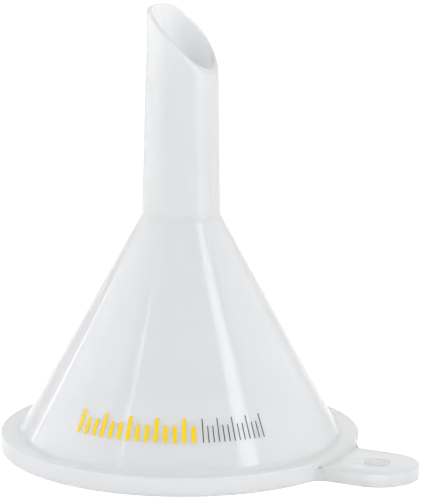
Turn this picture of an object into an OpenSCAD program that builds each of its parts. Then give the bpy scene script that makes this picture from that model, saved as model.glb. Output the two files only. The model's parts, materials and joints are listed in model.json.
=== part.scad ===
// Small one-piece bottle funnel, standing on its mouth with the spout up.
// Millimetres, +Z up. The origin is on the funnel's axis, in the plane of the rim's underside.
// The hanging tab points along +X, and the spout's slanted cut faces the same way.
// The funnel is one moulding. Its regions are separate nodes that meet face to face.

/* [Rim] */
// Outer radius of the rim flange
rim_r = 17.5; // [16.5:0.1:19]
// Thickness of the rim flange
rim_t = 1.85; // [1.5:0.05:2.4]
// Radius of the rim's lower outer edge
rim_round_low = 0.35; // [0.1:0.05:0.5]
// Radius of the rim's upper outer edge
rim_round_top = 0.2; // [0.1:0.05:0.4]
// Height of the straight land inside the mouth
mouth_land = 0.5; // [0.2:0.1:1]

/* [Bowl] */
// Outer radius of the bowl where it meets the top of the rim
foot_r = 15.6; // [14.5:0.1:15.9]
// Half-angle of the bowl's cone, in degrees
cone_half_angle = 28.7; // [26:0.1:32]
// Wall thickness of the bowl, across the wall
bowl_wall = 0.75; // [0.6:0.05:1]

/* [Spout] */
// Outer radius of the spout at the neck
neck_r = 3.83; // [3.6:0.01:4.2]
// Outer radius of the spout at the inner shoulder
shoulder_r = 3.57; // [3.45:0.01:3.6]
// Height of the inner shoulder above the rim's underside
shoulder_z = 36; // [32:0.1:36.5]
// Bore radius of the spout below the shoulder
bore_r = 2.8; // [2.6:0.01:2.95]

/* [Spout tip] */
// Outer radius of the tip
tip_r = 3.47; // [3.4:0.01:3.5]
// Height over which the tip draws in to that radius
tip_draw_h = 2.4; // [1:0.1:3]
// Bore radius of the tip
tip_bore_r = 2.98; // [2.96:0.01:3.05]
// Height of the slanted cut on the funnel's axis
cut_z = 41.35; // [40.5:0.05:43]
// Slope of the cut on the axis, in degrees
cut_angle = 43.6; // [38:0.1:46]
// Radius of the cut's slightly domed surface
cut_dome_r = 34; // [25:1:80]
// Radius that rounds the high end of the cut
nose_r = 2.15; // [1.5:0.05:3]

/* [Hanging tab] */
// Radius of the tab's round end, half of its width
tab_r = 4.05; // [3.5:0.05:4.5]
// Distance from the axis to the centre of the round end
tab_x = 21.3; // [20.5:0.1:24]
// Thickness of the tab
tab_t = 1.35; // [1:0.05:1.4]
// Radius of the fillets where the tab leaves the rim
tab_fillet = 1; // [0.5:0.1:1.5]
// Radius of the hanging hole
hole_r = 1.15; // [1:0.05:2]

/* [Printed marks] */
// Height of the lower edge of the marks
print_z = 4.4; // [3:0.1:8]
// Height of the tallest marks, measured up the axis
print_h = 2.05; // [1:0.05:3]
// Thickness of the ink
ink_t = 0.04; // [0.02:0.01:0.08]
// Number of bold marks
bold_count = 14; // [6:1:18]
// Width of one bold mark
bold_w = 0.42; // [0.2:0.02:0.5]
// Number of fine marks
fine_count = 13; // [6:1:18]
// Width of one fine mark
fine_w = 0.1; // [0.06:0.01:0.2]

/* [Hidden] */
$fn = 96;
eps = 0.01;

slope = tan(cone_half_angle);
wall_across = bowl_wall / cos(cone_half_angle);
neck_z = rim_t + (foot_r - neck_r) / slope;

// Directions of the marks round the axis, in degrees from +X
bold_from = -106.2;
bold_to = -54.1;
fine_from = -53.5;
fine_to = -26.2;
// Every third mark is a tall one, and the others are this share of its height
tall_every = 3;
short_share = 0.7;

// How far inside the tip's outer wall the rounding of the nose is centred
nose_inset = 0.1;

function cone_out(z) = foot_r - slope * (z - rim_t);
function cone_in(z) = cone_out(z) - wall_across;
// Height at which the inside of the bowl has narrowed to the radius r
function cone_in_z(r) = rim_t + (foot_r - wall_across - r) / slope;

// The passage through the funnel, from the mouth to the shoulder
module passage() {
    rotate_extrude()
    polygon([
        [0, -1], [cone_in(mouth_land), -1], [cone_in(mouth_land), mouth_land],
        [bore_r, cone_in_z(bore_r)], [bore_r, shoulder_z + 1], [0, shoulder_z + 1]
    ]);
}

// The waste outside a quarter-round corner, with the corner at the origin
module corner_waste(r) {
    difference() {
        translate([-r, -eps]) square([r + eps, r + eps]);
        translate([-r, r]) circle(r);
    }
}

// Solid disc with the rim's rounded outer edges
module rim_disc() {
    rotate_extrude()
    difference() {
        square([rim_r, rim_t]);
        translate([rim_r, 0]) corner_waste(rim_round_low);
        translate([rim_r, rim_t]) mirror([0, 1]) corner_waste(rim_round_top);
    }
}

module rim_flange() {
    color([0.9, 0.91, 0.93])
    difference() {
        rim_disc();
        passage();
    }
}

// Plan of the tab: straight sides with a fillet at the rim, and a round end
module tab_plan() {
    fillet_y = tab_r + tab_fillet;
    fillet_x = sqrt(pow(rim_r + tab_fillet, 2) - pow(fillet_y, 2));
    // Where a fillet touches the rim, as a share of the way to the fillet's centre
    share = rim_r / (rim_r + tab_fillet);
    touch = [fillet_x * share, fillet_y * share];
    difference() {
        polygon([
            [touch[0] - 1, -touch[1]], touch * [[1, 0], [0, -1]], [fillet_x, -fillet_y],
            [fillet_x, -tab_r], [tab_x, -tab_r], [tab_x, tab_r], [fillet_x, tab_r],
            [fillet_x, fillet_y], touch, [touch[0] - 1, touch[1]]
        ]);
        for (side = [-1, 1]) translate([fillet_x, side * fillet_y]) circle(tab_fillet);
    }
    translate([tab_x, 0]) circle(tab_r);
}

module hang_tab() {
    color([0.9, 0.91, 0.93])
    difference() {
        linear_extrude(tab_t) tab_plan();
        rim_disc();
        translate([tab_x, 0, -1]) cylinder(h = tab_t + 2, r = hole_r);
    }
}

module bowl_cone() {
    color([0.93, 0.94, 0.96])
    difference() {
        translate([0, 0, rim_t]) cylinder(h = neck_z - rim_t, r1 = foot_r, r2 = neck_r);
        passage();
    }
}

module spout_tube() {
    color([0.94, 0.95, 0.97])
    difference() {
        translate([0, 0, neck_z]) cylinder(h = shoulder_z - neck_z, r1 = neck_r, r2 = shoulder_r);
        passage();
    }
}

// The cut is part of a wide cylinder across the funnel. Side view: X across, Y up.
dome_centre = [-cut_dome_r * sin(cut_angle), cut_z - cut_dome_r * cos(cut_angle)];

// What the rounding takes off the high end: a wedge outside a small circle that touches the wide one
module nose_waste_2d() {
    reach = cut_dome_r - nose_r;
    nose_x = nose_inset - tip_r;
    nose_y = dome_centre[1] + sqrt(pow(reach, 2) - pow(nose_x - dome_centre[0], 2));
    nose = [nose_x, nose_y];
    outward = (nose - dome_centre) / reach;
    difference() {
        polygon([nose, nose + 3 * nose_r * outward, nose + [-10, 10], nose + [-10, 0]]);
        translate(nose) circle(nose_r);
    }
}

// Extrudes a side view right across the funnel
module across() {
    rotate([90, 0, 0]) linear_extrude(20, center = true) children();
}

module spout_tip() {
    above = 10;
    color([0.92, 0.93, 0.96])
    difference() {
        intersection() {
            rotate_extrude()
            polygon([
                [tip_bore_r, shoulder_z], [shoulder_r, shoulder_z], [tip_r, shoulder_z + tip_draw_h],
                [tip_r, shoulder_z + above], [tip_bore_r, shoulder_z + above]
            ]);
            across() translate(dome_centre) circle(cut_dome_r, $fn = 360);
        }
        across() nose_waste_2d();
    }
}

// One mark: a sector of ink on the cone, from print_z up to print_z + h
module ink_mark(from, width, h) {
    sector = width / cone_out(print_z) * 180 / PI;
    low = cone_out(print_z);
    high = cone_out(print_z + h);
    rotate([0, 0, from])
    rotate_extrude(angle = sector)
    polygon([
        [low, print_z], [low + ink_t, print_z],
        [high + ink_t, print_z + h], [high, print_z + h]
    ]);
}

module mark_row(from, to, count, width) {
    pitch = (to - from) / count;
    for (i = [0 : count - 1]) {
        h = i % tall_every == 0 ? print_h : print_h * short_share;
        ink_mark(from + i * pitch, width, h);
    }
}

module bold_print() {
    color([1, 0.85, 0.05]) mark_row(bold_from, bold_to, bold_count, bold_w);
}

module fine_print() {
    color([0.3, 0.3, 0.32]) mark_row(fine_from, fine_to, fine_count, fine_w);
}

rim_flange();
hang_tab();
bowl_cone();
spout_tube();
spout_tip();
bold_print();
fine_print();
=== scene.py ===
# %% [markdown]
# # A small translucent bottle funnel
#
# This lesson finishes a funnel whose sizes come from a CAD model. The real funnel is one
# injection moulding in natural polypropylene, a plastic with no pigment, so it is milky and lets
# light through. It stands on its mouth, and a row of yellow marks and a row of grey marks are
# printed on its bowl.
#
# The CAD model is loaded first as a fixed frame. Most sizes below are read from it, and the few
# that it doesn't give are named where they are used.

# %% Load the frame
import json
import math

import bmesh
import bpy
from mathutils import Matrix, Quaternion, Vector


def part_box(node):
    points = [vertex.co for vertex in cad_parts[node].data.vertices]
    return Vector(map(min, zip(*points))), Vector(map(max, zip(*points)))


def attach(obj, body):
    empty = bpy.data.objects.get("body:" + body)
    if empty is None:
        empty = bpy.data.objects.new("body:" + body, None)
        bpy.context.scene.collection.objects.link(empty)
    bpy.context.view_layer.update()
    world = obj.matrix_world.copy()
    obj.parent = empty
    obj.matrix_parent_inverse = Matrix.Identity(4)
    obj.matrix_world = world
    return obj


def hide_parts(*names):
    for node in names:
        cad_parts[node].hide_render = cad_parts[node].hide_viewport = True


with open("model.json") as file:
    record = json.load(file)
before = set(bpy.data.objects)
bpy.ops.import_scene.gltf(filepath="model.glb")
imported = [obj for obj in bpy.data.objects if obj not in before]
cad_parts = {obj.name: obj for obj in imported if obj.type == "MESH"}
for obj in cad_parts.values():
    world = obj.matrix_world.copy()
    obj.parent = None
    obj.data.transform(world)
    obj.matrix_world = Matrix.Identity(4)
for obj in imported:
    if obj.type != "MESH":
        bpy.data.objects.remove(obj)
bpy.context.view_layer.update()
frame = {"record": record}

# %% [markdown]
# The frame gives most sizes: a node's box holds its radius and its heights, and the record's
# mounts hold the bores. Blender works in metres, so every value in millimetres is multiplied by
# MM.

# %% Sizes from the frame
MM = 0.001


def high(node):
    """The upper corner of a CAD node's box."""
    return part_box(node)[1]


mounts = {m["name"]: m for m in frame["record"]["mounts"]}


def mount_radius(name):
    return mounts[name]["dims"]["r_mm"] * MM


rim_r, rim_t = high("rim_flange").x, high("rim_flange").z
foot_r, neck_z = high("bowl_cone").x, high("bowl_cone").z
neck_r, shoulder_z = high("spout_tube").x, high("spout_tube").z
shoulder_r, tip_z = high("spout_tip").x, high("spout_tip").z
tab_end, tab_t = high("hang_tab").x, high("hang_tab").z
mouth_r, bore_r, hole_r = map(mount_radius, ("mouth", "spout_bore", "hang_hole"))
mouth_land = mounts["mouth"]["dims"]["length_mm"] * MM
hole_x = mounts["hang_hole"]["pos_m"][0]
tab_r = tab_end - hole_x
cone_slope = (foot_r - neck_r) / (neck_z - rim_t)
wall_across = foot_r - cone_slope * (mouth_land - rim_t) - mouth_r
print(f"rim {rim_r * 2000:.1f} mm across, spout to {tip_z * 1000:.1f} mm")
print(f"bowl wall {wall_across * 1000:.2f} mm, measured level")

# %% [markdown]
# ## The half-section
#
# A round moulding is described by half of its section: the outline of the plastic on one side
# of the axis. Each corner is a point with a radius, because a real mould has no perfectly sharp
# edge. The roundings are named first, with the sizes of the tip that no box or mount gives.

# %% Roundings and the tip's own sizes
MOUTH_ROUND = 0.12 * MM
RIM_ROUND_LOW = 0.35 * MM
RIM_ROUND_TOP = 0.2 * MM
FOOT_FILLET = 0.6 * MM
NECK_FILLET = 1.0 * MM
LIP_ROUND = 0.28 * MM
BORE_ROUND = 0.14 * MM
SHOULDER_ROUND = 0.04 * MM
THROAT_FILLET = 0.4 * MM
LAND_ROUND = 0.1 * MM

TIP_R = 3.47 * MM
TIP_BORE_R = 2.98 * MM
TIP_DRAW_H = 2.4 * MM
print(f"the lip's wall is {(TIP_R - TIP_BORE_R) * 1000:.2f} mm")

# %% [markdown]
# The corners run from the rim's underside up the outside, over the lip and down the passage. The
# tip is drawn square here, with rows of points up its walls. The slanted cut comes later, in the
# node tree, and bends those rows.

# %% Corners of the half-section
TIP_ROWS = 14


def cone_in_z(r):
    """Height at which the inside of the bowl has narrowed to the radius r."""
    return rim_t + (foot_r - wall_across - r) / cone_slope


def wall_rows(r, rows):
    """Points up a straight wall of the tip, so that the wall can bend when the tip is cut."""
    step = (tip_z - shoulder_z) / (rows + 1)
    return [(r, shoulder_z + step * i, 0) for i in range(1, rows + 1)]


half_section = [
    (mouth_r, 0, MOUTH_ROUND),
    (rim_r, 0, RIM_ROUND_LOW),
    (rim_r, rim_t, RIM_ROUND_TOP),
    (foot_r, rim_t, FOOT_FILLET),
    (neck_r, neck_z, NECK_FILLET),
    (shoulder_r, shoulder_z, 0),
    *wall_rows(shoulder_r, TIP_ROWS),
    (shoulder_r, tip_z, LIP_ROUND),
    (TIP_BORE_R, tip_z, BORE_ROUND),
    *reversed(wall_rows(TIP_BORE_R, TIP_ROWS)),
    (TIP_BORE_R, shoulder_z, SHOULDER_ROUND),
    (bore_r, shoulder_z, SHOULDER_ROUND),
    (bore_r, cone_in_z(bore_r), THROAT_FILLET),
    (mouth_r, mouth_land, LAND_ROUND),
]
print("half-section:", len(half_section), "corners")

# %% [markdown]
# The corners become a closed line of edges. A named attribute carries each corner's radius into
# the node tree, so the tree can round every corner by its own amount.

# %% The section as a line
def new_object(name, data):
    """An object at the origin, linked to the scene."""
    piece = bpy.data.objects.new(name, data)
    bpy.context.scene.collection.objects.link(piece)
    return piece


def section_mesh(name, corners):
    """A closed line in the XZ plane, with each corner's radius kept as an attribute."""
    mesh = bpy.data.meshes.new(name)
    count = len(corners)
    edges = [(i, (i + 1) % count) for i in range(count)]
    mesh.from_pydata([(r, 0, z) for r, z, _ in corners], edges, [])
    radius = mesh.attributes.new("corner", "FLOAT", "POINT")
    radius.data.foreach_set("value", [c for _, _, c in corners])
    return new_object(name, mesh)


moulding = section_mesh("funnel_moulding", half_section)
print("the line has", len(moulding.data.edges), "edges")

# %% [markdown]
# ## Helpers for node trees
#
# A Geometry Nodes tree is a recipe that Blender runs on an object. Building it in code takes
# many small calls, so a few helpers keep that short. One adds a node and sets its properties and
# inputs, one adds a math node, and two read and move the points. An input may be a plain value
# or another node's output.

# %% Node helpers
def feed(tree, socket, value):
    """Gives a socket a plain value, or links it to another node's output."""
    if isinstance(value, bpy.types.NodeSocket):
        tree.links.new(value, socket)
    else:
        socket.default_value = value


def add(tree, kind, inputs=None, **settings):
    """Adds a node. inputs maps a socket's name or number to a value or to an output."""
    node = tree.nodes.new(kind)
    for key, value in settings.items():
        setattr(node, key, value)
    for key, value in (inputs or {}).items():
        feed(tree, node.inputs[key], value)
    return node


def calc(tree, operation, *values, clamp=False):
    """One math node, as its output."""
    kind = "ShaderNodeMath"
    node = add(tree, kind, dict(enumerate(values)), operation=operation, use_clamp=clamp)
    return node.outputs[0]


def coordinates(tree):
    """The x, y and z of each point, as three outputs."""
    position = add(tree, "GeometryNodeInputPosition").outputs[0]
    return add(tree, "ShaderNodeSeparateXYZ", {0: position}).outputs


def move_points(tree, geometry, x, y, z):
    """Moves every point of the geometry to x, y and z."""
    target = add(tree, "ShaderNodeCombineXYZ", {0: x, 1: y, 2: z}).outputs[0]
    moved = add(tree, "GeometryNodeSetPosition", {"Geometry": geometry, "Position": target})
    return moved.outputs[0]


print("helpers:", ", ".join(f.__name__ for f in (feed, add, calc, coordinates, move_points)))

# %% [markdown]
# A tree starts with named inputs. It ends by making any copies real and setting the material,
# because the export drops what is only an instance. Running a tree puts a value in each named
# input and keeps the result as a plain mesh. A modifier knows its inputs by identifier, so the
# names are looked up in the tree.

# %% Start, end and run a tree
def new_tree(name, inputs):
    """A Geometry Nodes tree with a geometry in and out, and named inputs with start values."""
    tree = bpy.data.node_groups.new(name, "GeometryNodeTree")
    face = tree.interface
    face.new_socket("Geometry", in_out="INPUT", socket_type="NodeSocketGeometry")
    face.new_socket("Geometry", in_out="OUTPUT", socket_type="NodeSocketGeometry")
    for label, (kind, value) in inputs.items():
        socket = face.new_socket(label, in_out="INPUT", socket_type="NodeSocket" + kind)
        if value is not None:
            socket.default_value = value
    entry = tree.nodes.new("NodeGroupInput")
    return tree, entry.outputs


def end_tree(tree, geometry, material):
    """Realize Instances and Set Material, then the tree's output."""
    real = add(tree, "GeometryNodeRealizeInstances", {0: geometry}).outputs[0]
    done = add(tree, "GeometryNodeSetMaterial", {"Geometry": real, "Material": material})
    result = tree.nodes.new("NodeGroupOutput")
    tree.links.new(done.outputs[0], result.inputs[0])


def keep_shape(piece):
    """Replaces the piece's modifiers by the mesh that they give."""
    depsgraph = bpy.context.evaluated_depsgraph_get()
    mesh = bpy.data.meshes.new_from_object(piece.evaluated_get(depsgraph))
    piece.modifiers.clear()
    piece.data = mesh
    print(f"{piece.name}: {len(mesh.vertices)} points, {len(mesh.polygons)} faces")


def run_tree(piece, tree, values):
    """Runs the tree on the piece with these named inputs, and keeps the result as a mesh."""
    modifier = piece.modifiers.new(tree.name, "NODES")
    modifier.node_group = tree
    for item in tree.interface.items_tree:
        if item.in_out == "INPUT" and item.name in values:
            modifier[item.identifier] = values[item.name]
    keep_shape(piece)


print("tree tools:", ", ".join(f.__name__ for f in (new_tree, end_tree, keep_shape, run_tree)))

# %% [markdown]
# ## Finishes
#
# Polypropylene, the yellow ink and the grey ink all show the same two small things: a grain
# left by the mould or the printing pad, and a slow drift in tone. Each is a node group with
# named inputs, built once and placed in every finish with its own values.

# %% Tools for shader groups
def shader_group(name, inputs, outputs):
    """A shader node group, with the sockets that come in and the sockets that go out."""
    group = bpy.data.node_groups.new(name, "ShaderNodeTree")
    face = group.interface
    for label, (kind, value) in inputs.items():
        socket = face.new_socket(label, in_out="INPUT", socket_type="NodeSocket" + kind)
        socket.default_value = value
    for label, kind in outputs.items():
        face.new_socket(label, in_out="OUTPUT", socket_type="NodeSocket" + kind)
    given = group.nodes.new("NodeGroupInput").outputs
    result = group.nodes.new("NodeGroupOutput").inputs
    return group, given, result


def noise(group, size, detail):
    """Smooth noise over the piece's own space, as one value near 0.5."""
    place = add(group, "ShaderNodeTexCoord").outputs["Object"]
    texture = {"Vector": place, "Scale": size, "Detail": detail}
    return add(group, "ShaderNodeTexNoise", texture).outputs[0]


print("every pattern reads Object coordinates, so it stays put on its piece")

# %% [markdown]
# The grain is a mix of fine noise and slow waves, as one height. The waves also make the gloss
# a little uneven, as on a real moulded wall.

# %% Grain
def surface_grain():
    """Fine grain and slow waves, as one height, with a roughness that follows the waves."""
    group, given, result = shader_group(
        "surface_grain",
        {
            "Grain Size": ("Float", 900.0),
            "Wave Size": ("Float", 120.0),
            "Wave Share": ("Float", 0.5),
            "Roughness": ("Float", 0.3),
            "Roughness Spread": ("Float", 0.1),
        },
        {"Height": "Float", "Roughness": "Float"},
    )
    grain = noise(group, given["Grain Size"], 3.0)
    waves = noise(group, given["Wave Size"], 1.0)
    blend = {"Factor": given["Wave Share"], "A": grain, "B": waves}
    height = add(group, "ShaderNodeMix", blend)
    group.links.new(height.outputs[0], result["Height"])
    swing = calc(group, "SUBTRACT", waves, 0.5)
    rough = calc(group, "MULTIPLY_ADD", swing, given["Roughness Spread"], given["Roughness"])
    group.links.new(rough, result["Roughness"])
    return group


GRAIN = surface_grain()
print("group:", GRAIN.name)

# %% [markdown]
# The drift moves between two near tones. A Mix node keeps one pair of A and B sockets for each
# kind of data, so the colour pair is reached by its socket numbers.

# %% Drift
MIX_COLOR_A, MIX_COLOR_B, MIX_COLOR_OUT = 6, 7, 2


def tone_drift():
    """A colour that wanders slowly between two near tones."""
    group, given, result = shader_group(
        "tone_drift",
        {
            "Tone A": ("Color", (1, 1, 1, 1)),
            "Tone B": ("Color", (1, 1, 1, 1)),
            "Scale": ("Float", 60.0),
        },
        {"Color": "Color"},
    )
    drift = noise(group, given["Scale"], 2.0)
    tones = {"Factor": drift, MIX_COLOR_A: given["Tone A"], MIX_COLOR_B: given["Tone B"]}
    mix = add(group, "ShaderNodeMix", tones, data_type="RGBA")
    group.links.new(mix.outputs[MIX_COLOR_OUT], result["Color"])
    return group


DRIFT = tone_drift()
print("group:", DRIFT.name)

# %% [markdown]
# A finish joins both groups to a Principled shader. What is the same all over the piece, such as
# the IOR, is set on the shader's own sockets.

# %% Finish builder
def finish(name, tones, grain, bump, constants):
    """A finish from its tones, its grain, its bump's strength and depth, and its constants."""
    material = bpy.data.materials.new(name)
    material.use_nodes = True
    tree = material.node_tree
    shader = tree.nodes["Principled BSDF"]
    for key, value in constants.items():
        shader.inputs[key].default_value = value
    drift = add(tree, "ShaderNodeGroup", node_tree=DRIFT)
    texture = add(tree, "ShaderNodeGroup", node_tree=GRAIN)
    for node, values in ((drift, tones), (texture, grain)):
        for key, value in values.items():
            node.inputs[key].default_value = value
    tree.links.new(drift.outputs["Color"], shader.inputs["Base Color"])
    tree.links.new(texture.outputs["Roughness"], shader.inputs["Roughness"])
    strength, depth = bump
    lift = {"Height": texture.outputs["Height"], "Strength": strength, "Distance": depth}
    relief = add(tree, "ShaderNodeBump", lift)
    tree.links.new(relief.outputs["Normal"], shader.inputs["Normal"])
    print("finish:", name)
    return material


print("a finish places", DRIFT.name, "and", GRAIN.name)

# %% [markdown]
# ### Natural polypropylene
#
# The plastic scatters light inside its wall and lets part of it straight through. Subsurface
# scattering does the first and transmission the second. Its colour is very pale grey-blue, and
# its surface has the satin gloss of a polished mould.

# %% Polypropylene
POLYPROPYLENE_TONES = {
    "Tone A": (0.89, 0.905, 0.95, 1),
    "Tone B": (0.92, 0.925, 0.94, 1),
    "Scale": 90.0,
}
POLYPROPYLENE_GRAIN = {
    "Grain Size": 2200.0,
    "Wave Size": 160.0,
    "Wave Share": 0.6,
    "Roughness": 0.09,
    "Roughness Spread": 0.05,
}
POLYPROPYLENE_BUMP = (0.15, 0.02 * MM)
POLYPROPYLENE_BODY = {
    "IOR": 1.49,
    "Transmission Weight": 0.42,
    "Subsurface Weight": 1.0,
    "Subsurface Radius": (1.0, 1.0, 1.0),
    "Subsurface Scale": 1.0 * MM,
}
polypropylene = finish(
    "natural_polypropylene",
    POLYPROPYLENE_TONES,
    POLYPROPYLENE_GRAIN,
    POLYPROPYLENE_BUMP,
    POLYPROPYLENE_BODY,
)

# %% [markdown]
# ### Inks
#
# Pad-printed ink is opaque and a little duller than the plastic. Both inks share one grain and
# one shine, and differ only in their tones.

# %% Inks
INK_GRAIN = {
    "Grain Size": 9000.0,
    "Wave Size": 1500.0,
    "Wave Share": 0.4,
    "Roughness": 0.45,
    "Roughness Spread": 0.2,
}
INK_BUMP = (0.3, 0.01 * MM)
INK_SHINE = {"IOR": 1.5, "Specular IOR Level": 0.3}


def ink(name, tone_a, tone_b):
    tones = {"Tone A": tone_a, "Tone B": tone_b, "Scale": 700.0}
    return finish(name, tones, INK_GRAIN, INK_BUMP, INK_SHINE)


yellow_ink = ink("yellow_ink", (0.9, 0.6, 0.003, 1), (0.93, 0.66, 0.005, 1))
grey_ink = ink("grey_ink", (0.06, 0.06, 0.065, 1), (0.085, 0.085, 0.09, 1))

# %% [markdown]
# ## Turning the section into the moulding
#
# The spout's end is cut at a slant by a wide, slightly domed surface whose high end is rounded.
# Seen from the side, that is two circles that touch: a wide one for the dome and a small one for
# the rounded nose. Their centres are worked out here.

# %% The cut, as a rule
CUT_Z = 41.35 * MM
CUT_ANGLE = math.radians(43.6)
CUT_DOME_R = 34 * MM
NOSE_R = 2.15 * MM
NOSE_INSET = 0.1 * MM
dome_x = -CUT_DOME_R * math.sin(CUT_ANGLE)
dome_z = CUT_Z - CUT_DOME_R * math.cos(CUT_ANGLE)
nose_x = NOSE_INSET - TIP_R
nose_z = dome_z + math.sqrt((CUT_DOME_R - NOSE_R) ** 2 - (nose_x - dome_x) ** 2)
touch_x = dome_x + (nose_x - dome_x) * CUT_DOME_R / (CUT_DOME_R - NOSE_R)
print(f"the two circles touch at x = {touch_x * 1000:.2f} mm")

# %% [markdown]
# Math nodes follow the same rule, and give the cut's height over any x.

# %% The cut, in nodes
def circle_height(tree, x, centre_x, centre_z, radius):
    """Height of a circle's upper half at x, as a chain of math nodes."""
    away = calc(tree, "SUBTRACT", x, centre_x)
    inside = calc(tree, "MULTIPLY_ADD", calc(tree, "MULTIPLY", away, away), -1.0, radius**2)
    return calc(tree, "ADD", calc(tree, "SQRT", calc(tree, "MAXIMUM", inside, 0.0)), centre_z)


def cut_height(tree, x):
    """Height of the slanted cut at x: the nose's circle at the high end, then the dome's."""
    dome = circle_height(tree, x, dome_x, dome_z, CUT_DOME_R)
    nose = circle_height(tree, x, nose_x, nose_z, NOSE_R)
    on_nose = calc(tree, "LESS_THAN", x, touch_x)
    return add(tree, "ShaderNodeMix", {"Factor": on_nose, "A": dome, "B": nose}).outputs[0]


print(f"the top of the nose's circle is at {(nose_z + NOSE_R) * 1000:.3f} mm")

# %% [markdown]
# The tree works in three stages. The first rounds the section's corners and sweeps it round the
# axis. Curve to Mesh carries a flat profile round a path, here a circle of one millimetre, so the
# section is laid flat and starts that much nearer the axis.

# %% Round the corners and sweep
HUB = 1 * MM


def turned(tree, given):
    """The rounded section, swept round the axis."""
    line = add(tree, "GeometryNodeMeshToCurve", {"Mesh": given["Geometry"]}).outputs[0]
    corner = add(tree, "GeometryNodeInputNamedAttribute", {"Name": "corner"}, data_type="FLOAT")
    fillet = {"Curve": line, "Radius": corner.outputs[0], "Count": given["Corner Steps"]}
    rounded = add(tree, "GeometryNodeFilletCurve", fillet, mode="POLY").outputs[0]
    x, _, z = coordinates(tree)
    out, up = calc(tree, "SUBTRACT", x, HUB), calc(tree, "MULTIPLY", z, -1.0)
    profile = move_points(tree, rounded, out, up, 0.0)
    circle = {"Resolution": given["Steps Round"], "Radius": HUB}
    path = add(tree, "GeometryNodeCurvePrimitiveCircle", circle).outputs[0]
    skin = add(tree, "GeometryNodeCurveToMesh", {"Curve": path, "Profile Curve": profile})
    return skin.outputs[0]


print(f"the path's radius is {HUB * 1000:.0f} mm")

# %% [markdown]
# The second stage cuts the tip. It moves points instead of removing them: every point above the
# shoulder comes down by its share of the cut's depth at its own place, so the lip keeps its
# rounded edge all the way round. The third draws the tip's outer wall in a little, and leaves
# the bore as it is.

# %% Cut the tip and draw it in
def cut_tip(tree, given, skin):
    """Lowers the points above the shoulder onto the slanted cut."""
    x, y, z = coordinates(tree)
    above = calc(tree, "SUBTRACT", z, given["Shoulder"])
    under_lip = calc(tree, "SUBTRACT", given["Tip"], given["Lip"])
    reach = calc(tree, "SUBTRACT", under_lip, given["Shoulder"])
    share = calc(tree, "DIVIDE", above, reach, clamp=True)
    depth = calc(tree, "SUBTRACT", given["Tip"], cut_height(tree, x))
    lowered = calc(tree, "SUBTRACT", z, calc(tree, "MULTIPLY", depth, share))
    return move_points(tree, skin, x, y, lowered)


def draw_in_tip(tree, given, skin):
    """Pulls the tip's outer wall towards the axis, in full from the draw height up."""
    x, y, z = coordinates(tree)
    square = calc(tree, "ADD", calc(tree, "MULTIPLY", x, x), calc(tree, "MULTIPLY", y, y))
    radius = calc(tree, "SQRT", square)
    above = calc(tree, "SUBTRACT", z, given["Shoulder"])
    raised = calc(tree, "DIVIDE", above, given["Draw Height"], clamp=True)
    from_bore = calc(tree, "SUBTRACT", radius, given["Bore"])
    outer = calc(tree, "DIVIDE", from_bore, given["Wall"], clamp=True)
    inward = calc(tree, "MULTIPLY", calc(tree, "MULTIPLY", raised, outer), given["Draw"])
    ratio = calc(tree, "SUBTRACT", 1.0, calc(tree, "DIVIDE", inward, radius))
    near_x, near_y = calc(tree, "MULTIPLY", x, ratio), calc(tree, "MULTIPLY", y, ratio)
    return move_points(tree, skin, near_x, near_y, z)


print(f"the tip draws in by {(shoulder_r - TIP_R) * 1000:.2f} mm")

# %% [markdown]
# The whole tree is these stages in a row, with every size as a named input.

# %% Turn the moulding
def lathe_tree():
    tree, given = new_tree(
        "turned_moulding",
        {
            "Steps Round": ("Int", 256),
            "Corner Steps": ("Int", 5),
            "Shoulder": ("Float", 0.0),
            "Tip": ("Float", 0.0),
            "Lip": ("Float", 0.0),
            "Draw Height": ("Float", 0.0),
            "Draw": ("Float", 0.0),
            "Wall": ("Float", 0.0),
            "Bore": ("Float", 0.0),
            "Material": ("Material", None),
        },
    )
    skin = turned(tree, given)
    skin = cut_tip(tree, given, skin)
    skin = draw_in_tip(tree, given, skin)
    end_tree(tree, skin, given["Material"])
    return tree


turning = {
    "Steps Round": 256,
    "Corner Steps": 5,
    "Shoulder": shoulder_z,
    "Tip": tip_z,
    "Lip": LIP_ROUND,
    "Draw Height": TIP_DRAW_H,
    "Draw": shoulder_r - TIP_R,
    "Wall": shoulder_r - TIP_BORE_R,
    "Bore": TIP_BORE_R,
    "Material": polypropylene,
}
run_tree(moulding, lathe_tree(), turning)
print(f"turned to {max(v.co.z for v in moulding.data.vertices) * 1000:.3f} mm high")

# %% [markdown]
# ## The hanging tab
#
# The tab is a flat tongue with a round end and a hole, blended into the rim by two small
# fillets. Its plan is drawn as one outline, from arcs, and starts inside the rim. Each fillet
# stops a little short of the rim, so that no sliver is left where they would touch.

# %% Plan of the tab
TAB_FILLET = 1 * MM
TAB_ROOT = 1.2 * MM
FILLET_SHORT = math.radians(6)
FILLET_STEPS, END_STEPS, HOLE_STEPS = 10, 40, 64
QUARTER = math.radians(90)


def arc(centre, radius, start, end, steps):
    """Points on an arc, from one angle to another."""
    turns = [start + (end - start) * i / steps for i in range(steps + 1)]
    return [(centre[0] + radius * math.cos(t), centre[1] + radius * math.sin(t)) for t in turns]


def tab_outline():
    """The tab's outline: a fillet, the round end, the other fillet, and two points inside."""
    fillet_y = tab_r + TAB_FILLET
    fillet_x = math.sqrt((rim_r + TAB_FILLET) ** 2 - fillet_y**2)
    meets = math.pi + math.atan2(fillet_y, fillet_x) + FILLET_SHORT
    upper = arc((fillet_x, fillet_y), TAB_FILLET, 3 * QUARTER, meets, FILLET_STEPS)
    lower = [(x, -y) for x, y in upper]
    root = (rim_r - TAB_ROOT) / rim_r
    inside_rim = [(x * root, y * root) for x, y in (upper[-1], lower[-1])]
    end = arc((hole_x, 0), tab_r, -QUARTER, QUARTER, END_STEPS)
    return list(reversed(lower)) + end + upper + inside_rim


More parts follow.
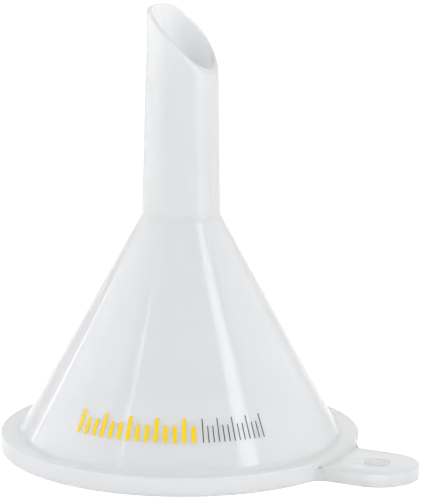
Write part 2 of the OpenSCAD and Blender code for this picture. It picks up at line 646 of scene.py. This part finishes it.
print("tab outline:", len(tab_outline()), "points")

# %% [markdown]
# The outline and the hole are filled and raised to the tab's thickness. A bevel then rounds the
# edges that lie level and turn a sharp corner, which are the rims of the top and of the underside.

# %% Tab solid
TAB_EDGE_ROUND = 0.15 * MM
ROUND_STEPS = 4
FLAT_ANGLE = math.radians(1)
SHARP_ANGLE = math.radians(60)
SAME_LEVEL = 0.0001 * MM


def round_edges(work, edges, radius):
    """Rounds these edges of a mesh that is being worked on."""
    bmesh.ops.bevel(
        work, geom=edges, offset=radius, segments=ROUND_STEPS, profile=0.5, affect="EDGES"
    )


def tab_solid(name):
    """The tab's plan raised to its thickness, with rounded edges, as a closed solid."""
    work = bmesh.new()
    hole = arc((hole_x, 0), hole_r, 0, math.tau, HOLE_STEPS)[:-1]
    edges = []
    for plan in (tab_outline(), hole):
        loop = [work.verts.new((x, y, 0)) for x, y in plan]
        edges += [work.edges.new((a, b)) for a, b in zip(loop, loop[1:] + loop[:1])]
    filled = bmesh.ops.triangle_fill(work, edges=edges, use_beauty=True)
    faces = [f for f in filled["geom"] if isinstance(f, bmesh.types.BMFace)]
    raised = bmesh.ops.extrude_face_region(work, geom=faces, use_keep_orig=True)
    moved = [v for v in raised["geom"] if isinstance(v, bmesh.types.BMVert)]
    bmesh.ops.translate(work, verts=moved, vec=(0, 0, tab_t))
    bmesh.ops.recalc_face_normals(work, faces=work.faces)
    bmesh.ops.dissolve_limit(work, angle_limit=FLAT_ANGLE, verts=work.verts, edges=work.edges)
    closed = [e for e in work.edges if len(e.link_faces) == 2]
    sharp = [e for e in closed if e.calc_face_angle() > SHARP_ANGLE]
    level = [e for e in sharp if abs(e.verts[0].co.z - e.verts[1].co.z) < SAME_LEVEL]
    round_edges(work, level, TAB_EDGE_ROUND)
    mesh = bpy.data.meshes.new(name)
    work.to_mesh(mesh)
    work.free()
    mesh.materials.append(polypropylene)
    return new_object(name, mesh)


tab = tab_solid("tab_tool")
print("tab:", len(tab.data.polygons), "faces")

# %% [markdown]
# ## One closed skin
#
# A boolean union joins the tab and the turned part. In a translucent plastic, a second wall
# hidden inside the first would show, so the moulding has to be one skin. Two tools come first:
# one counts open edges, and one cleans the skin.

# %% Count and clean
SAME_PLACE = 0.0005 * MM
CREASE_ANGLE = math.radians(35)


def open_edges(mesh):
    """How many edges don't have exactly two faces: none, on a closed skin."""
    work = bmesh.new()
    work.from_mesh(mesh)
    count = sum(len(e.link_faces) != 2 for e in work.edges)
    work.free()
    return count


def tidy_skin(mesh):
    """Merges doubles, turns faces outwards and marks the sharp edges of a smooth skin."""
    work = bmesh.new()
    work.from_mesh(mesh)
    bmesh.ops.remove_doubles(work, verts=work.verts, dist=SAME_PLACE)
    bmesh.ops.dissolve_degenerate(work, edges=work.edges, dist=SAME_PLACE)
    bmesh.ops.recalc_face_normals(work, faces=work.faces)
    work.to_mesh(mesh)
    work.free()
    mesh.shade_smooth()
    mesh.set_sharp_from_angle(angle=CREASE_ANGLE)


print("open edges after turning:", open_edges(moulding.data))

# %% [markdown]
# The tab's top meets the rim's side in an inside corner, which a real mould would round. Its
# edges are found by where they lie, on the rim's side and at the height of the tab's top.

# %% Soften the step
NEAR_SIDE = 0.01 * MM
NEAR_TOP = 0.001 * MM
STEP_ROUND = 0.3 * MM


def soften_step(mesh, radius):
    """Rounds the inside corner where the tab's top meets the rim's side."""
    work = bmesh.new()
    work.from_mesh(mesh)
    corner = []
    for edge in work.edges:
        ends = [v.co for v in edge.verts]
        on_side = all(abs(math.hypot(p.x, p.y) - rim_r) < NEAR_SIDE for p in ends)
        on_top = all(abs(p.z - tab_t) < NEAR_TOP for p in ends)
        if on_side and on_top:
            corner.append(edge)
    round_edges(work, corner, radius)
    work.to_mesh(mesh)
    work.free()
    print("softened edges:", len(corner))


print(f"the step's corner will be rounded by {STEP_ROUND * 1000:.1f} mm")

# %% [markdown]
# The two are cleaned, joined, softened and cleaned again. The tab on its own is no longer needed
# then.

# %% Join the tab and the turned part
tidy_skin(moulding.data)
join = moulding.modifiers.new("join_tab", "BOOLEAN")
join.operation, join.solver, join.object = "UNION", "EXACT", tab
keep_shape(moulding)
bpy.data.objects.remove(tab)
soften_step(moulding.data, STEP_ROUND)
tidy_skin(moulding.data)
print("open edges after joining:", open_edges(moulding.data))

# %% [markdown]
# ## The printed marks
#
# The print is two rows of plain bars on the bowl: bold yellow ones, then fine grey ones. Bars
# repeat, so one tree makes a row. It starts with one bar, a thin closed plate with round corners
# that stands on the row's base line.

# %% One bar
BAR_ROUND_SHARE = 0.3
BAR_CORNER_STEPS = 4
PLATE_MERGE = 0.0001 * MM


def bar_plate(tree, given):
    """A thin closed plate with round corners, as wide and as high as the inputs say."""
    width, height = given["Width"], given["Height"]
    rectangle = {"Width": width, "Height": height}
    outline = add(tree, "GeometryNodeCurvePrimitiveQuadrilateral", rectangle).outputs[0]
    corner = calc(tree, "MULTIPLY", width, BAR_ROUND_SHARE)
    fillet = {"Curve": outline, "Radius": corner, "Count": BAR_CORNER_STEPS}
    rounded = add(tree, "GeometryNodeFilletCurve", fillet, mode="POLY").outputs[0]
    face = add(tree, "GeometryNodeFillCurve", {"Curve": rounded}, mode="NGONS").outputs[0]
    lift = add(tree, "ShaderNodeCombineXYZ", {2: given["Thickness"]}).outputs[0]
    extrusion = {"Mesh": face, "Offset": lift, "Individual": False}
    raised = add(tree, "GeometryNodeExtrudeMesh", extrusion, mode="FACES").outputs[0]
    under = add(tree, "GeometryNodeFlipFaces", {"Mesh": face}).outputs[0]
    both = add(tree, "GeometryNodeJoinGeometry")
    tree.links.new(raised, both.inputs[0])
    tree.links.new(under, both.inputs[0])
    merge = {"Geometry": both.outputs[0], "Distance": PLATE_MERGE}
    plate = add(tree, "GeometryNodeMergeByDistance", merge).outputs[0]
    centre_y = calc(tree, "MULTIPLY", height, 0.5)
    shift = add(tree, "ShaderNodeCombineXYZ", {1: centre_y}).outputs[0]
    bar = add(tree, "GeometryNodeTransform", {"Geometry": plate, "Translation": shift})
    return bar.outputs[0]


print("a bar's corners are rounded by", BAR_ROUND_SHARE, "of its width")

# %% [markdown]
# Copies of the bar are then laid side by side, one on each point of a line. Every third one
# keeps its full height, and the others are scaled down.

# %% A flat row of bars
def flat_row(tree, given, bar):
    """Copies of the bar in a straight row, each with its own height."""
    step = add(tree, "ShaderNodeCombineXYZ", {0: given["Pitch"]}).outputs[0]
    start = add(tree, "ShaderNodeCombineXYZ", {0: given["Start"]}).outputs[0]
    spots = {"Count": given["Count"], "Start Location": start, "Offset": step}
    row = add(tree, "GeometryNodeMeshLine", spots, mode="OFFSET").outputs[0]
    number = add(tree, "GeometryNodeInputIndex").outputs[0]
    tall = calc(tree, "LESS_THAN", calc(tree, "MODULO", number, given["Tall Every"]), 0.5)
    heights = {"Factor": tall, "A": given["Short Share"], "B": 1.0}
    share = add(tree, "ShaderNodeMix", heights).outputs[0]
    scale = add(tree, "ShaderNodeCombineXYZ", {0: 1.0, 1: share, 2: 1.0}).outputs[0]
    copies = {"Points": row, "Instance": bar, "Scale": scale}
    bars = add(tree, "GeometryNodeInstanceOnPoints", copies).outputs[0]
    return add(tree, "GeometryNodeRealizeInstances", {0: bars}).outputs[0]


print("a flat row runs along X, and its bars stand along Y")

# %% [markdown]
# Last, the flat row is bent onto the cone: across becomes an angle, up becomes height on the
# wall, and thickness stands out from it. The underside sits a hair inside the plastic, so that
# no gap shows.

# %% Bend the row onto the bowl
INK_T = 0.02 * MM
INK_SUNK = 0.005 * MM


def cone_radius(tree, z):
    """The bowl's outer radius at a height, as a chain of math nodes."""
    return calc(tree, "MULTIPLY_ADD", calc(tree, "SUBTRACT", z, rim_t), -cone_slope, foot_r)


def bent_row(tree, given, flat):
    """The flat row, bent onto the bowl."""
    across, up, out = coordinates(tree)
    z = calc(tree, "ADD", given["Base Height"], up)
    radius = calc(tree, "ADD", cone_radius(tree, z), calc(tree, "SUBTRACT", out, INK_SUNK))
    turn = calc(tree, "DIVIDE", across, cone_radius(tree, given["Base Height"]))
    x = calc(tree, "MULTIPLY", radius, calc(tree, "COSINE", turn))
    y = calc(tree, "MULTIPLY", radius, calc(tree, "SINE", turn))
    return move_points(tree, flat, x, y, z)


print(f"the ink stands {INK_T * 1000:.2f} mm proud of the wall")

# %% [markdown]
# These three stages make the tree for a whole row.

# %% The tree for a row of marks
def marks_tree():
    tree, given = new_tree(
        "row_of_marks",
        {
            "Count": ("Int", 12),
            "Width": ("Float", 0.0),
            "Height": ("Float", 0.0),
            "Short Share": ("Float", 0.7),
            "Tall Every": ("Int", 3),
            "Start": ("Float", 0.0),
            "Pitch": ("Float", 0.0),
            "Base Height": ("Float", 0.0),
            "Thickness": ("Float", 0.0),
            "Material": ("Material", None),
        },
    )
    flat = flat_row(tree, given, bar_plate(tree, given))
    end_tree(tree, bent_row(tree, given, flat), given["Material"])
    return tree


MARKS_TREE = marks_tree()
print("tree:", MARKS_TREE.name, "with", len(MARKS_TREE.nodes), "nodes")

# %% [markdown]
# The rows start and end where the CAD marks do. A row's box on the cone gives its height, and
# the angles are given here, with the counts and widths.

# %% Two rows of marks
SHORT_SHARE = 0.7
TALL_EVERY = 3


def mark_row(node, material, count, width, first, last):
    """A row of marks over its CAD node, from one angle round the axis to another, in degrees."""
    base_height, top_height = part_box(node)[0].z, high(node).z
    base_r = foot_r - cone_slope * (base_height - rim_t)
    start, end = math.radians(first) * base_r, math.radians(last) * base_r
    piece = new_object(node + "_marks", bpy.data.meshes.new(node))
    values = {
        "Count": count,
        "Width": width,
        "Height": top_height - base_height,
        "Short Share": SHORT_SHARE,
        "Tall Every": TALL_EVERY,
        "Start": start + width / 2,
        "Pitch": (end - start) / count,
        "Base Height": base_height,
        "Thickness": INK_T + INK_SUNK,
        "Material": material,
    }
    run_tree(piece, MARKS_TREE, values)
    print(f"{piece.name}: {open_edges(piece.data)} open edges")
    return piece


bold = mark_row("bold_print", yellow_ink, count=14, width=0.42 * MM, first=-106.2, last=-54.1)
fine = mark_row("fine_print", grey_ink, count=13, width=0.1 * MM, first=-53.5, last=-26.2)

# %% [markdown]
# ## What stands for what
#
# The funnel has no moving part, so every piece rides on the one body. The skin stands for the
# five regions of the CAD moulding, and each row of marks for its own CAD node.

# %% Ride and replace
for piece, slot, nodes in (
    (moulding, "moulding", ("rim_flange", "hang_tab", "bowl_cone", "spout_tube", "spout_tip")),
    (bold, "yellow_ink", ("bold_print",)),
    (fine, "grey_ink", ("fine_print",)),
):
    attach(piece, "root")
    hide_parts(*nodes)
    print(piece.name, "stands for", ", ".join(nodes))

# %% [markdown]
# ## Floor
#
# A pale floor catches the light and throws it up through the mouth. It glows a little itself,
# like a lit white table, so the funnel casts only the softest shadow. Where the camera sees it
# directly it glows more, which brings it to the white of the room.

# %% Floor
FLOOR_SIZE = 6.0
FLOOR_DROP = 0.01 * MM
FLOOR_GLOW = 0.35
CAMERA_GLOW = 0.33

floor_mesh = bpy.data.meshes.new("floor")
half = FLOOR_SIZE / 2
corners = [(-half, -half), (half, -half), (half, half), (-half, half)]
floor_mesh.from_pydata([(x, y, -FLOOR_DROP) for x, y in corners], [], [(0, 1, 2, 3)])
floor = new_object("floor", floor_mesh)

table = bpy.data.materials.new("white_table")
table.use_nodes = True
table_inputs = table.node_tree.nodes["Principled BSDF"].inputs
table_inputs["Base Color"].default_value = (0.8, 0.8, 0.8, 1)
table_inputs["Roughness"].default_value = 0.9
table_inputs["Specular IOR Level"].default_value = 0.0
table_inputs["Emission Color"].default_value = (1, 1, 1, 1)
direct = add(table.node_tree, "ShaderNodeLightPath").outputs["Is Camera Ray"]
glow = calc(table.node_tree, "MULTIPLY_ADD", direct, CAMERA_GLOW, FLOOR_GLOW)
feed(table.node_tree, table_inputs["Emission Strength"], glow)
floor_mesh.materials.append(table)
print("floor:", FLOOR_SIZE, "m across")

# %% [markdown]
# ## Light
#
# The room is white, and dimmer than the background that the camera sees, so the plastic reads
# against it. It is a little dimmer in front of the funnel than behind it. Directions are
# measured from the camera's own, so the camera's angles come first.

# %% Room
AZIMUTH, ELEVATION, ROLL = 27.18, 12.984, -0.428
FRONT_LIGHT, BACK_LIGHT = 0.84, 0.94
FRONT_HEIGHT = 20
WHITE = (1, 1, 1, 1)


def towards(angle, height):
    """Unit vector to a place angle degrees right of the camera's direction, height degrees up."""
    a, e = math.radians(AZIMUTH + angle), math.radians(height)
    return Vector((math.sin(a) * math.cos(e), -math.cos(a) * math.cos(e), math.sin(e)))


world = bpy.data.worlds.new("white_room")
bpy.context.scene.world = world
world.use_nodes = True
sky = world.node_tree
sky.nodes.clear()
place = add(sky, "ShaderNodeTexCoord").outputs["Generated"]
both_ways = {0: place, 1: towards(0, FRONT_HEIGHT)}
facing = add(sky, "ShaderNodeVectorMath", both_ways, operation="DOT_PRODUCT").outputs["Value"]
nearness = calc(sky, "MULTIPLY_ADD", facing, 0.5, 0.5)
level = add(sky, "ShaderNodeMix", {"Factor": nearness, "A": BACK_LIGHT, "B": FRONT_LIGHT})
lit = add(sky, "ShaderNodeBackground", {"Color": WHITE, "Strength": level.outputs[0]})
seen = add(sky, "ShaderNodeBackground", {"Color": WHITE, "Strength": 1.0})
is_camera = add(sky, "ShaderNodeLightPath").outputs["Is Camera Ray"]
either = add(sky, "ShaderNodeMixShader", {0: is_camera, 1: lit.outputs[0], 2: seen.outputs[0]})
add(sky, "ShaderNodeOutputWorld", {"Surface": either.outputs[0]})
print("room light:", FRONT_LIGHT, "in front,", BACK_LIGHT, "behind")

# %% [markdown]
# Upright soft panels stand round the funnel. A wide wall on each side models the round forms,
# and narrow panels give the light streaks along the spout and the bowl. The bowl's wall leans
# back and mirrors what is high up, while the spout mirrors what is low, so the streak on the
# right has a low panel and a high one.

# %% Panels
def panel(name, angle, distance, width, bottom, top, radiance):
    """An upright soft panel, angle degrees to the right of the camera, between two heights.

    Radiance is how bright the panel itself looks, where the white background is 1.
    """
    height = top - bottom
    light = bpy.data.lights.new(name, "AREA")
    light.shape, light.size, light.size_y = "RECTANGLE", width, height
    light.energy = radiance * math.pi * width * height
    lamp = new_object(name, light)
    back = towards(angle, 0)
    lamp.location = back * distance + Vector((0, 0, (bottom + top) / 2))
    lamp.rotation_euler = back.to_track_quat("Z", "Y").to_euler()
    lamp.visible_camera = False
    print(f"{name}: {light.energy:.4f} W")


panel("left_wall", -95, distance=0.14, width=0.16, bottom=0, top=0.18, radiance=0.7)
panel("left_strip", -130, distance=0.20, width=0.008, bottom=0, top=0.3, radiance=3.0)
panel("right_wall", 105, distance=0.14, width=0.16, bottom=0.03, top=0.18, radiance=0.35)
panel("right_low", 57, distance=0.12, width=0.03, bottom=0, top=0.035, radiance=1.4)
panel("right_high", 57, distance=0.12, width=0.03, bottom=0.06, top=0.2, radiance=3.0)
panel("left_line", -48, distance=0.12, width=0.006, bottom=0.06, top=0.2, radiance=3.0)

# %% [markdown]
# ## Camera
#
# A long lens keeps the rim's ellipse flat. The camera is placed by its direction and aims at a
# point beside the spout, and a slight roll levels the bowl.

# %% Camera
DISTANCE = 0.4
FOCAL_MM = 293.97
AIM_RIGHT, AIM_UP = 2.854 * MM, 19.337 * MM

back = towards(0, ELEVATION)
right = Vector((0, 0, 1)).cross(back).normalized()
up = back.cross(right)
lens = bpy.data.cameras.new("camera")
lens.lens = FOCAL_MM
lens.clip_start, lens.clip_end = 0.01, 20
camera = new_object("camera", lens)
camera.location = right * AIM_RIGHT + up * AIM_UP + back * DISTANCE
camera.rotation_mode = "QUATERNION"
looking = Matrix((right, up, back)).transposed().to_quaternion()
camera.rotation_quaternion = looking @ Quaternion((0, 0, 1), math.radians(-ROLL))
bpy.context.scene.camera = camera
bpy.context.scene.view_settings.view_transform = "Standard"
print("camera at, mm:", [round(v * 1000) for v in camera.location])
